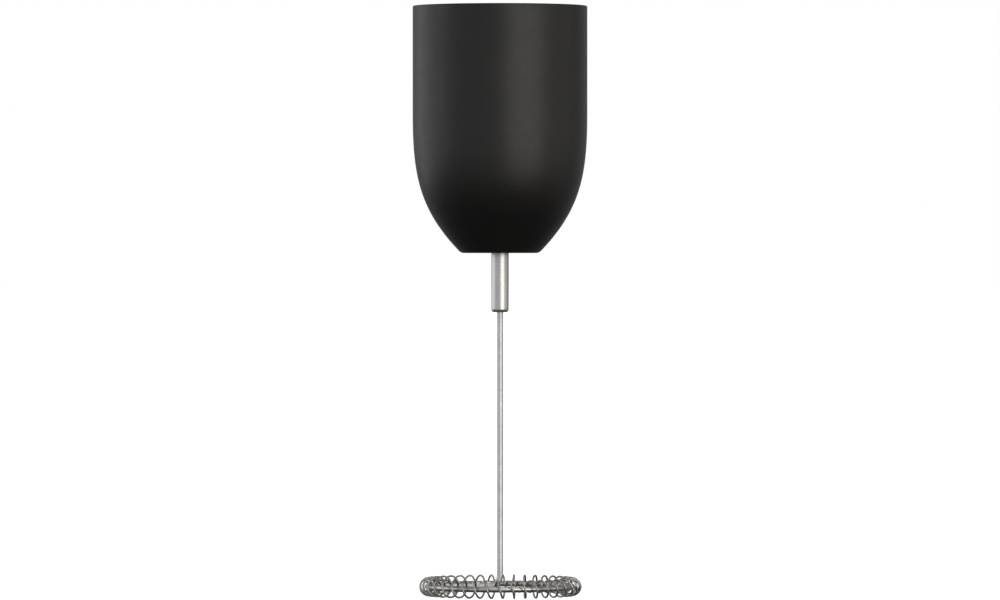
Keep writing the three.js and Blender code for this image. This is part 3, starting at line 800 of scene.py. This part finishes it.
@dataclass(frozen=True)
class NoseSeal:
    """The rubber ring round the tool, with a thin lip that leans down along the stem."""

    inner: float = 3.15
    outer: float = 7.4
    low: float = -84.85
    high: float = -83.0

    def build(self) -> Object:
        """Builds and dresses the seal, and returns it."""
        face = self.low + 0.35
        ring = turned(
            [
                (self.inner, self.low + 0.1, 0.08),
                (self.inner + 0.45, self.low + 0.1, 0.12),
                (self.inner + 0.8, face + 0.45, 0.2),
                (self.inner + 1.5, face, 0.15),
                (self.outer - 1.2, face, 0.15),
                (self.outer - 0.9, self.low, 0.1),
                (self.outer, self.low, 0.15),
                (self.outer, self.high, 0.2),
                (self.inner, self.high, 0.3),
            ],
            steps=96,
        )
        return publish(ring, "nose_lip_seal", "cup", NITRILE_RUBBER, ["nose_seal"])


# ---- The drive in the socket -------------------------------------------------------------


@dataclass(frozen=True)
class GearboxCover:
    """The grey plate under the socket, with ears for the screws and a hub for the input shaft."""

    top: float = -24.3
    thickness: float = 2.6
    radius: float = 20.2
    hub_radius: float = 6.0
    hub_rise: float = 1.8
    hub_drop: float = 1.9
    bush_radius: float = 3.8
    seal_radius: float = 5.1
    seal_depth: float = 1.4
    spigot_outer: float = 18.3
    spigot_inner: float = 16.8
    spigot_drop: float = 1.1
    ear_root: float = 17.2
    ear_radius: float = 2.8
    rib: tuple[float, float, float] = (10.5, 1.2, 1.5)
    rib_centre: float = 11.4
    rib_lift: float = 0.35

    def build(self) -> Object:
        """Builds and dresses the cover, and returns it."""
        base, high = self.top - self.thickness, self.top + self.hub_rise
        plate = turned(
            [
                (self.bush_radius, base - self.hub_drop, 0.15),
                (self.hub_radius, base - self.hub_drop, 0.3),
                (self.hub_radius, base, 0.3),
                (self.spigot_inner, base),
                (self.spigot_inner, base - self.spigot_drop, 0.2),
                (self.spigot_outer, base - self.spigot_drop, 0.2),
                (self.spigot_outer, base),
                (self.radius, base, 0.2),
                (self.radius, self.top, 0.4),
                (self.hub_radius + 0.4, self.top, 0.6),
                (self.hub_radius, high, 0.3),
                (self.seal_radius, high, 0.15),
                (self.seal_radius, high - self.seal_depth),
                (self.bush_radius, high - self.seal_depth),
            ],
            steps=96,
        )
        plate = combine(plate, Join.ADD, three_round(self._ear))
        plate = combine(plate, Join.ADD, three_round(self._rib, 0.0, BETWEEN_THIRDS))
        plate = combine(plate, Join.CUT, three_round(self._hole, SCREW_CIRCLE))
        return publish(plate, "gearbox_lid", "cup", GREY_NYLON, ["gearbox_cover"])

    def _ear(self) -> BMesh:
        """Returns one ear for a screw, standing on +X."""
        radius = self.ear_radius
        arc = [math.radians(-90 + 12 * i) for i in range(16)]
        outline = [(SCREW_CIRCLE + radius * math.cos(a), radius * math.sin(a)) for a in arc]
        outline += [(self.ear_root, radius), (self.ear_root, -radius)]
        bm = prism(outline, self.top - self.thickness, self.top)
        flat = [e for e in bm.edges if abs(e.verts[0].co.z - e.verts[1].co.z) < 1e-6]
        round_edges(bm, flat, 0.2, 2)
        return bm

    def _rib(self) -> BMesh:
        """Returns one stiffening rib, standing on +X."""
        return block(self.rib, (self.rib_centre, 0, self.top + self.rib_lift), 0.3)

    def _hole(self) -> BMesh:
        """Returns the cutter of one screw hole."""
        return cylinder(SCREW_HOLE, self.top - CLEAR, self.top + CLEAR)


@dataclass(frozen=True)
class DriveDog:
    """The six-lobed driver that the motor unit grips, on a round skirt."""

    base: float = -22.2
    top: float = -9.0
    lobes: int = 6
    mean_radius: float = 5.2
    lobe: float = 1.3
    lobe_squareness: float = 2.2
    tip_radius: float = 5.1
    cone_radius: float = 12.0
    cone_drop: float = 6.9
    skirt_radius: float = 8.0
    skirt_height: float = 3.4
    bore: float = 2.1
    roof: float = 1.6
    pin_hole: float = 0.85
    pin_height: float = 1.9

    def build(self) -> Object:
        """Builds and dresses the dog, and returns it."""
        splines = prism(self._outline(), self.base + 1, self.top + 1)
        splines = combine(splines, Join.KEEP, [self._cone()])
        dog = combine(splines, Join.ADD, [self._skirt()])
        dog = combine(dog, Join.CUT, self._cutters())
        return publish(dog, "six_lobe_driver", "input", MOULDED_NYLON, ["drive_dog"])

    def _outline(self) -> list[tuple[float, float]]:
        """Returns the outline of the lobes, as points of X and Y."""
        count = self.lobes * 16
        outline = []
        for i in range(count):
            a = FULL_TURN * i / count
            wave = math.tanh(self.lobe_squareness * math.cos(self.lobes * a))
            r = self.mean_radius + self.lobe * wave
            outline.append((r * math.cos(a), r * math.sin(a)))
        return outline

    def _cone(self) -> BMesh:
        """Returns the turned shape whose top gives the lobes their lead-in."""
        return turned(
            [
                (0, self.base),
                (self.cone_radius, self.base),
                (self.cone_radius, self.top - self.cone_drop),
                (self.tip_radius, self.top, 0.5),
                (0, self.top),
            ],
            steps=96,
        )

    def _skirt(self) -> BMesh:
        """Returns the round skirt under the lobes."""
        high = self.base + self.skirt_height
        return turned(
            [
                (0, self.base),
                (self.skirt_radius, self.base, 0.4),
                (self.skirt_radius, high - 0.7, 0.3),
                (self.skirt_radius - 0.8, high, 0.3),
                (0, high),
            ],
            steps=96,
        )

    def _cutters(self) -> list[BMesh]:
        """Returns the cutters of the shaft's bore, the dimple on top and the cross pin's hole."""
        low, high, top = self.base - CLEAR, self.top - self.roof, self.top
        bore = turned([(0, low), (self.bore, low), (self.bore, high, 0.2), (0, high)], 40)
        dimple = turned([(0, top - 0.5), (1.2, top - 0.4), (1.9, top + 0.2), (0, top + 0.2)], 40)
        half = self.skirt_radius + 1
        cross = cylinder(self.pin_hole, -half, half)
        lying = Matrix.Rotation(QUARTER_TURN, 4, "X")
        lifted = Matrix.Translation((0, 0, self.base + self.pin_height))
        bmesh.ops.transform(cross, matrix=lifted @ lying, verts=cross.verts)
        return [bore, dimple, cross]


# ---- The frothing tool -------------------------------------------------------------------


@dataclass(frozen=True)
class ToolStem:
    """The polished bar that plugs into the spindle: drive flats, a clip groove, and a bore."""

    radius: float = 3.0
    top: float = -50.9
    low: float = -105.2
    flat: float = 2.3
    flat_length: float = 8.0
    groove: float = -63.9
    groove_depth: float = 0.45
    groove_half: float = 0.6
    neck_relief: float = 0.25
    bore: float = 1.2
    bore_length: float = 26.0

    def build(self) -> Object:
        """Builds and dresses the stem, and returns it."""
        waist, neck = self.radius - self.groove_depth, self.radius - self.neck_relief
        deep = self.low + self.bore_length
        bar = turned(
            [
                (self.bore, self.low, 0.15),
                (self.radius - 0.6, self.low, 0.25),
                (self.radius - 0.15, self.low + 0.4, 0.3),
                (self.radius, self.low + 1.0, 0.3),
                (self.radius, self.groove - self.groove_half, 0.1),
                (waist, self.groove - self.groove_half, 0.15),
                (waist, self.groove + self.groove_half, 0.15),
                (self.radius, self.groove + self.groove_half, 0.1),
                (self.radius, self.top - self.flat_length, 0.1),
                (neck, self.top - self.flat_length + self.neck_relief, 0.1),
                (neck, self.top, 0.5),
                (0, self.top),
                (0, deep + 0.6),
                (self.bore, deep),
            ],
            steps=96,
        )
        bar = combine(bar, Join.CUT, [self._flat(-1), self._flat(1)])
        return publish(bar, "polished_stem", "tool", POLISHED_STEEL, ["tool_stem"])

    def _flat(self, side: int) -> BMesh:
        """Returns the cutter of one drive flat, on the side of -X or +X."""
        thick, wide, tall = 4, 9, self.flat_length + 1
        return block((thick, wide, tall), (side * (self.flat + thick / 2), 0, self.top + 1 - tall / 2))


@dataclass(frozen=True)
class RodAndSpoke:
    """The wire that comes down the axis, turns through a right angle and runs to the hoop."""

    wire: float = 1.1
    top: float = -80.2
    bend: float = 4.0
    sunk: float = 0.5

    def build(self) -> Object:
        """Builds and dresses the rod, and returns it."""
        bend_z = HOOP_Z + self.bend
        bm = bmesh.new()
        bmesh.ops.create_circle(bm, radius=self.wire, segments=24)
        bmesh.ops.translate(bm, vec=(0, 0, self.top), verts=bm.verts)
        end = self._onwards(bm, bm.edges[:], (0, 0, bend_z - self.top))
        swept = bmesh.ops.spin(
            bm,
            geom=end,
            cent=(-self.bend, 0, bend_z),
            axis=(0, 1, 0),
            angle=QUARTER_TURN,
            steps=16,
            use_merge=False,
        )["geom_last"]
        end = [g for g in swept if isinstance(g, BMEdge)]
        self._onwards(bm, end, (-(HOOP_RADIUS - HOOP_WIRE + self.sunk - self.bend), 0, 0))
        bmesh.ops.remove_doubles(bm, verts=bm.verts, dist=TOUCHING)
        bmesh.ops.holes_fill(bm, edges=[e for e in bm.edges if e.is_boundary])
        bmesh.ops.recalc_face_normals(bm, faces=bm.faces)
        return publish(bm, "bent_wire_rod", "tool", SATIN_WIRE, ["rod_and_spoke"])

    def _onwards(self, bm: BMesh, edges: list[BMEdge], step: Sequence[float]) -> list[BMEdge]:
        """Draws the wire straight on from its open end.

        Args:
            bm: The mesh.
            edges: The ring of edges at the wire's present end.
            step: How far it goes on.

        Returns:
            The ring of edges at its new end.
        """
        made = bmesh.ops.extrude_edge_only(bm, edges=edges)["geom"]
        verts = [g for g in made if isinstance(g, BMVert)]
        edges = [g for g in made if isinstance(g, BMEdge)]
        bmesh.ops.translate(bm, vec=step, verts=verts)
        return [e for e in edges if all(v in verts for v in e.verts)]


@dataclass(frozen=True)
class WhiskHoop:
    """The closed hoop of wire, with the weld where the spoke meets it."""

    radius: float = HOOP_RADIUS
    wire: float = HOOP_WIRE
    height: float = HOOP_Z
    bead_shape: tuple[float, float, float] = (0.8, 1.04, 1.0)
    ripples: int = 5
    ripple: float = 0.05

    def build(self) -> list[Object]:
        """Builds and dresses the hoop and its weld, and returns them."""
        bm = wire_section(self.wire, 20, (self.radius, 0, self.height))
        spin_shut(bm, steps=180)
        hoop = publish(bm, "wire_hoop", "tool", DRAWN_WIRE, ["whisk_hoop"])
        return [hoop, self._weld()]

    def _weld(self) -> Object:
        """Builds the bead that fills the corner between the spoke and the hoop."""
        bead = turned(
            [
                (0, -0.35),
                (1.75, -0.3, 0.15),
                (1.5, 0.25, 0.2),
                (1.12, 0.9, 0.2),
                (0, 1.15),
            ],
            steps=36,
        )
        for vert in bead.verts:
            wave = math.sin(self.ripples * math.atan2(vert.co.y, vert.co.x)) * self.ripple
            vert.co.xy *= 1 + wave * (1.2 - vert.co.z)
        bmesh.ops.scale(bead, vec=self.bead_shape, verts=bead.verts)
        lying = Matrix.Rotation(QUARTER_TURN, 4, "Y")
        outwards = Matrix.Translation((-self.radius + self.wire, 0, self.height))
        bmesh.ops.transform(bead, matrix=outwards @ lying, verts=bead.verts)
        return publish(bead, "spoke_weld_bead", "tool", WELD_STEEL, [])


@dataclass(frozen=True)
class HoopSpring:
    """The fine spring wound round the hoop, its last half turns closed down on to the wire."""

    hoop_radius: float = HOOP_RADIUS
    height: float = HOOP_Z
    coil: float = 2.88
    wire: float = 0.35
    turns: int = 40
    gap: float = math.radians(3)
    closed: float = 1.45
    steps_a_turn: int = 28

    def build(self) -> Object:
        """Builds and dresses the spring, and returns it."""
        bm = wire_section(self.wire, 10, (self.coil, 0, 0), filled=True)
        coiled = FULL_TURN - self.gap
        steps = round(self.turns * self.steps_a_turn * coiled / FULL_TURN)
        bmesh.ops.spin(
            bm,
            geom=bm.faces[:],
            cent=(0, 0, 0),
            axis=(0, 0, 1),
            dvec=(0, 0, coiled * self.hoop_radius / steps),
            angle=self.turns * coiled,
            steps=steps,
            use_merge=False,
        )
        close_up(bm)
        for vert in bm.verts:
            vert.co = self._wound(vert.co)
        nodes = ["hoop_spring"]
        return publish(bm, "hoop_coil_spring", "tool", SPRING_WIRE, nodes, 60.0)

    def _wound(self, point: Vector) -> Vector:
        """Bends a point of the straight spring, which stands on Z, round the hoop.

        The bend follows the wire's centre line, so that the wire keeps its thickness.

        Args:
            point: Where the point is on the straight spring.

        Returns:
            Where it is on the wound one.
        """
        pitch = FULL_TURN * self.hoop_radius / self.turns
        share = (math.atan2(point.y, point.x) % FULL_TURN) / FULL_TURN
        along = pitch * (share + round(point.z / pitch - share))
        past = self.gap / 2 + along / self.hoop_radius
        turn = -self.turns * past
        from_end = min(past, FULL_TURN - past) - self.gap / 2
        ease = min(max(2 * self.turns * from_end / FULL_TURN, 0.0), 1.0)
        coil = self.closed + (self.coil - self.closed) * ease * ease * (3 - 2 * ease)
        out = coil + math.hypot(point.x, point.y) - self.coil
        outwards = Vector((-math.cos(past), -math.sin(past), 0))
        onwards = Vector((math.sin(past), -math.cos(past), 0))
        centre = Vector((0, 0, self.height)) + outwards * (self.hoop_radius + out * math.cos(turn))
        return centre + Vector((0, 0, out * math.sin(turn))) + onwards * (point.z - along)


# ---- The sealed gearbox ------------------------------------------------------------------


@dataclass(frozen=True)
class TurnedPart:
    """A plain turned part of the gearbox: a bush, spacer, washer, seal or pin."""

    name: str
    node: str
    body: str
    finish: Finish
    slot: str
    profile: tuple[tuple[float, ...], ...]
    centre: tuple[float, float] = (0.0, 0.0)

    def build(self) -> Object:
        """Builds and dresses the part, and returns it."""
        bm = turned(self.profile, steps=64)
        bmesh.ops.translate(bm, vec=(*self.centre, 0), verts=bm.verts)
        return publish(bm, self.name, self.body, self.finish, [self.node])


def sleeve(inner: float, outer: float, low: float, high: float, rounding: float) -> Profile:
    """Returns the section of a bush or washer with rounded outer corners."""
    return (
        (inner, low, 0.05),
        (outer, low, rounding),
        (outer, high, rounding),
        (inner, high, 0.05),
    )


class GearTrain:
    """The gearbox inside the cup, from the input shaft to the spindle that takes the tool."""

    pin_circle = 9.75
    shaft_bore = 2.1
    spindle_bore = 5.0
    kept = {
        "gearbox_case": GREY_NYLON,
        "ring_gear": ACETAL,
        "sun_gear": GROUND_STEEL,
        "planet_gear_1": ACETAL,
        "planet_gear_2": ACETAL,
        "planet_gear_3": ACETAL,
        "planet_carrier": GROUND_STEEL,
        "output_spindle": GROUND_STEEL,
        "stem_clip": SPRING_WIRE,
        "spindle_clip": SPRING_WIRE,
        "input_shaft": GROUND_STEEL,
        "dog_cross_pin": GROUND_STEEL,
    }

    def build(self) -> None:
        """Builds the turned parts and dresses the CAD nodes that stay."""
        for part in self._turned_parts():
            part.build()
        for node, finish in self.kept.items():
            mesh = frame["nodes"][node].data
            mesh.materials.clear()
            mesh.materials.append(finish.material())
            log.info("%s: CAD mesh kept, in %s", node, finish.label)

    def _turned_parts(self) -> list[TurnedPart]:
        """Returns the turned parts, from the top down."""
        shaft, tube = self.shaft_bore, self.spindle_bore
        lip_seal = (
            (2.15, -23.75, 0.1), (5.0, -23.8, 0.1), (5.0, -22.6, 0.15), (3.6, -22.6, 0.1),
            (3.2, -23.0, 0.1), (2.6, -22.6, 0.1), (2.15, -22.7, 0.1),
        )
        bronze_rings = (
            ("input_shaft_bush", "input_bush", "cup", sleeve(shaft, 3.7, -28.7, -23.9, 0.3)),
            ("sun_gear_spacer", "sun_spacer", "input", sleeve(shaft, 3.6, -29.8, -29.1, 0.1)),
            ("carrier_thrust_washer", "carrier_washer", "output", sleeve(tube, 9.4, -40.8, -40.2, 0.12)),
            ("upper_spindle_bush", "upper_bush", "cup", sleeve(tube, 6.6, -47.3, -41.1, 0.3)),
            ("lower_spindle_bush", "lower_bush", "cup", sleeve(tube, 6.6, -76.6, -70.4, 0.3)),
            ("spindle_end_washer", "spindle_washer", "output", sleeve(tube, 8.2, -77.4, -76.9, 0.12)),
        )
        headed_pin = (
            (0, -40.0), (1.5, -40.0, 0.2), (1.5, -29.8), (2.4, -29.8, 0.08), (2.4, -29.0, 0.3),
            (0, -29.0),
        )
        parts = [
            TurnedPart(
                "input_shaft_lip_seal", "shaft_seal", "cup", NITRILE_RUBBER, "seal_rubber", lip_seal
            )
        ]
        for name, node, body, ring in bronze_rings:
            parts.append(TurnedPart(name, node, body, SINTERED_BRONZE, "bronze", ring))
        for number, angle in enumerate(THIRDS, start=1):
            name, node = f"headed_planet_pin_{number}", f"planet_pin_{number}"
            place = (self.pin_circle * math.cos(angle), self.pin_circle * math.sin(angle))
            parts.append(
                TurnedPart(name, node, "output", GROUND_STEEL, "ground_steel", headed_pin, place)
            )
        return parts


# ---- Studio ------------------------------------------------------------------------------


@dataclass(frozen=True)
class Softbox:
    """One soft lamp, placed by where it stands as seen from the object."""

    name: str
    azimuth_deg: float  # from the camera's side, towards the right
    elevation_deg: float
    distance: float
    width: float
    height: float
    radiance: float
    tint: tuple[float, float, float] = (1.0, 1.0, 1.0)

    def build(self, target: Vector) -> None:
        """Hangs the lamp so that it faces the target."""
        light = bpy.data.lights.new(self.name, "AREA")
        light.shape = "RECTANGLE"
        light.size, light.size_y = self.width, self.height
        light.energy = self.radiance * math.pi * self.width * self.height
        light.color = self.tint
        around, up = math.radians(self.azimuth_deg), math.radians(self.elevation_deg)
        level = Vector((math.sin(around), -math.cos(around), 0)) * math.cos(up)
        towards = level + Vector((0, 0, math.sin(up)))
        lamp = bpy.data.objects.new(self.name, light)
        lamp.location = target + towards * self.distance
        lamp.rotation_euler = towards.to_track_quat("Z", "Y").to_euler()
        bpy.context.scene.collection.objects.link(lamp)


@dataclass(frozen=True)
class Studio:
    """A pale floor, a plain pale room, soft lamps and the camera. All lengths are in metres."""

    floor_gap: float = 0.004  # under the tool when it is pulled right out
    floor_radius: float = 40.0
    distance: float = 2.603
    eye_z: float = -0.0875
    aim_z: float = -0.10103
    frame_width: float = 0.34354
    lamp_target_z: float = -0.09
    room_level: float = 1.0
    mirrored_levels: tuple[float, float, float] = (0.07, 0.32, 0.25)  # low, level, high
    mirrored_spread: float = 0.6
    floor_glow: tuple[float, float] = (0.62, 1.0)  # under the object, and further off
    glow_reach: tuple[float, float] = (0.3, 1.6)
    lamps: tuple[Softbox, ...] = (
        Softbox("key_softbox", 33, 5, 1.4, 1.25, 1.25, 1.42, (1.0, 0.965, 0.92)),
        Softbox("right_softbox", 76, 6, 1.4, 1.6, 1.2, 0.4, (1.0, 0.96, 0.9)),
        Softbox("left_softbox", -104, 9, 1.4, 1.9, 1.1, 0.84),
        Softbox("front_softbox", -10, 3, 1.5, 5.0, 1.45, 0.34),
        Softbox("overhead_softbox", 20, 70, 1.6, 1.2, 1.2, 1.4),
    )

    def build(self) -> None:
        """Builds the room, the lamps and the camera."""
        self._room()
        self._floor()
        for lamp in self.lamps:
            lamp.build(Vector((0, 0, self.lamp_target_z)))
        self._camera()

    def _room(self) -> None:
        """Sets what surrounds the object: white where it is seen, darker where it is mirrored."""
        world = bpy.data.worlds.new("pale_room")
        bpy.context.scene.world = world
        world.use_nodes = True
        tree = world.node_tree
        tree.nodes.clear()
        place = add_node(tree, "ShaderNodeTexCoord").outputs["Generated"]
        height = add_node(tree, "ShaderNodeSeparateXYZ", links={"Vector": place}).outputs["Z"]
        span = {"From Min": -self.mirrored_spread, "From Max": self.mirrored_spread}
        level = add_node(tree, "ShaderNodeMapRange", span, {"Value": height})
        shade = add_node(tree, "ShaderNodeValToRGB", links={"Fac": level.outputs["Result"]})
        shade.color_ramp.elements.new(0.5)
        for stop, grey in zip(shade.color_ramp.elements, self.mirrored_levels):
            stop.color = (grey, grey, grey, 1)
        around = add_node(tree, "ShaderNodeBackground", links={"Color": shade.outputs["Color"]})
        seen = add_node(tree, "ShaderNodeBackground", {"Color": (self.room_level,) * 3 + (1,)})
        looked_at = add_node(tree, "ShaderNodeLightPath").outputs["Is Camera Ray"]
        both = add_node(tree, "ShaderNodeMixShader", links={"Fac": looked_at})
        tree.links.new(around.outputs["Background"], both.inputs[1])
        tree.links.new(seen.outputs["Background"], both.inputs[2])
        add_node(tree, "ShaderNodeOutputWorld", links={"Surface": both.outputs["Shader"]})

    def _floor(self) -> None:
        """Lays the plain pale floor, which the object neither mirrors nor takes light from."""
        bm = bmesh.new()
        bmesh.ops.create_circle(bm, cap_ends=True, radius=self.floor_radius, segments=96)
        height = CAD_BOX[0][2] - TOOL_TRAVEL - self.floor_gap
        bmesh.ops.translate(bm, vec=(0, 0, height), verts=bm.verts)
        mesh = bpy.data.meshes.new("pale_floor")
        bm.to_mesh(mesh)
        bm.free()
        mesh.materials.append(self._paper())
        floor = bpy.data.objects.new("pale_floor", mesh)
        floor.visible_glossy = False
        floor.visible_diffuse = False
        bpy.context.scene.collection.objects.link(floor)

    def _paper(self) -> Material:
        """Returns the floor's matt white, which glows a little more further off."""
        material = bpy.data.materials.new("paper_white_matt")
        material.use_nodes = True
        tree = material.node_tree
        shader = tree.nodes["Principled BSDF"]
        shader.inputs["Base Color"].default_value = (0.8, 0.8, 0.8, 1)
        shader.inputs["Roughness"].default_value = 0.9
        shader.inputs["Specular IOR Level"].default_value = 0.0
        place = add_node(tree, "ShaderNodeTexCoord").outputs["Object"]
        away = add_node(tree, "ShaderNodeVectorMath", {"operation": "LENGTH"}, {"Vector": place})
        span = {
            "From Min": self.glow_reach[0],
            "From Max": self.glow_reach[1],
            "To Min": self.floor_glow[0],
            "To Max": self.floor_glow[1],
        }
        glow = add_node(tree, "ShaderNodeMapRange", span, {"Value": away.outputs["Value"]})
        shader.inputs["Emission Color"].default_value = (1, 1, 1, 1)
        tree.links.new(glow.outputs["Result"], shader.inputs["Emission Strength"])
        return material

    def _camera(self) -> None:
        """Stands the camera at the height and distance that the object is seen from."""
        camera = bpy.data.cameras.new("camera")
        camera.sensor_width = 36.0
        camera.lens = camera.sensor_width * self.distance / self.frame_width
        camera.clip_end = 200.0
        eye = bpy.data.objects.new("camera", camera)
        eye.location = (0, -self.distance, self.eye_z)
        aim = Vector((0, 0, self.aim_z)) - eye.location
        eye.rotation_euler = aim.to_track_quat("-Z", "Y").to_euler()
        bpy.context.scene.collection.objects.link(eye)
        bpy.context.scene.camera = eye
        bpy.context.scene.view_settings.view_transform = "Standard"


# ---- Main --------------------------------------------------------------------------------


def main() -> None:
    """Builds every sub-assembly in order, then the studio around them."""
    for part in (
        CupShell(),
        LockRing(),
        ChassisScrews(),
        NoseSeal(),
        GearboxCover(),
        DriveDog(),
        ToolStem(),
        RodAndSpoke(),
        WhiskHoop(),
        HoopSpring(),
        GearTrain(),
        Studio(),
    ):
        log.info("building %s", type(part).__name__)
        part.build()


if __name__ == "__main__":
    logging.basicConfig(level=logging.INFO, format="%(message)s")
    main()
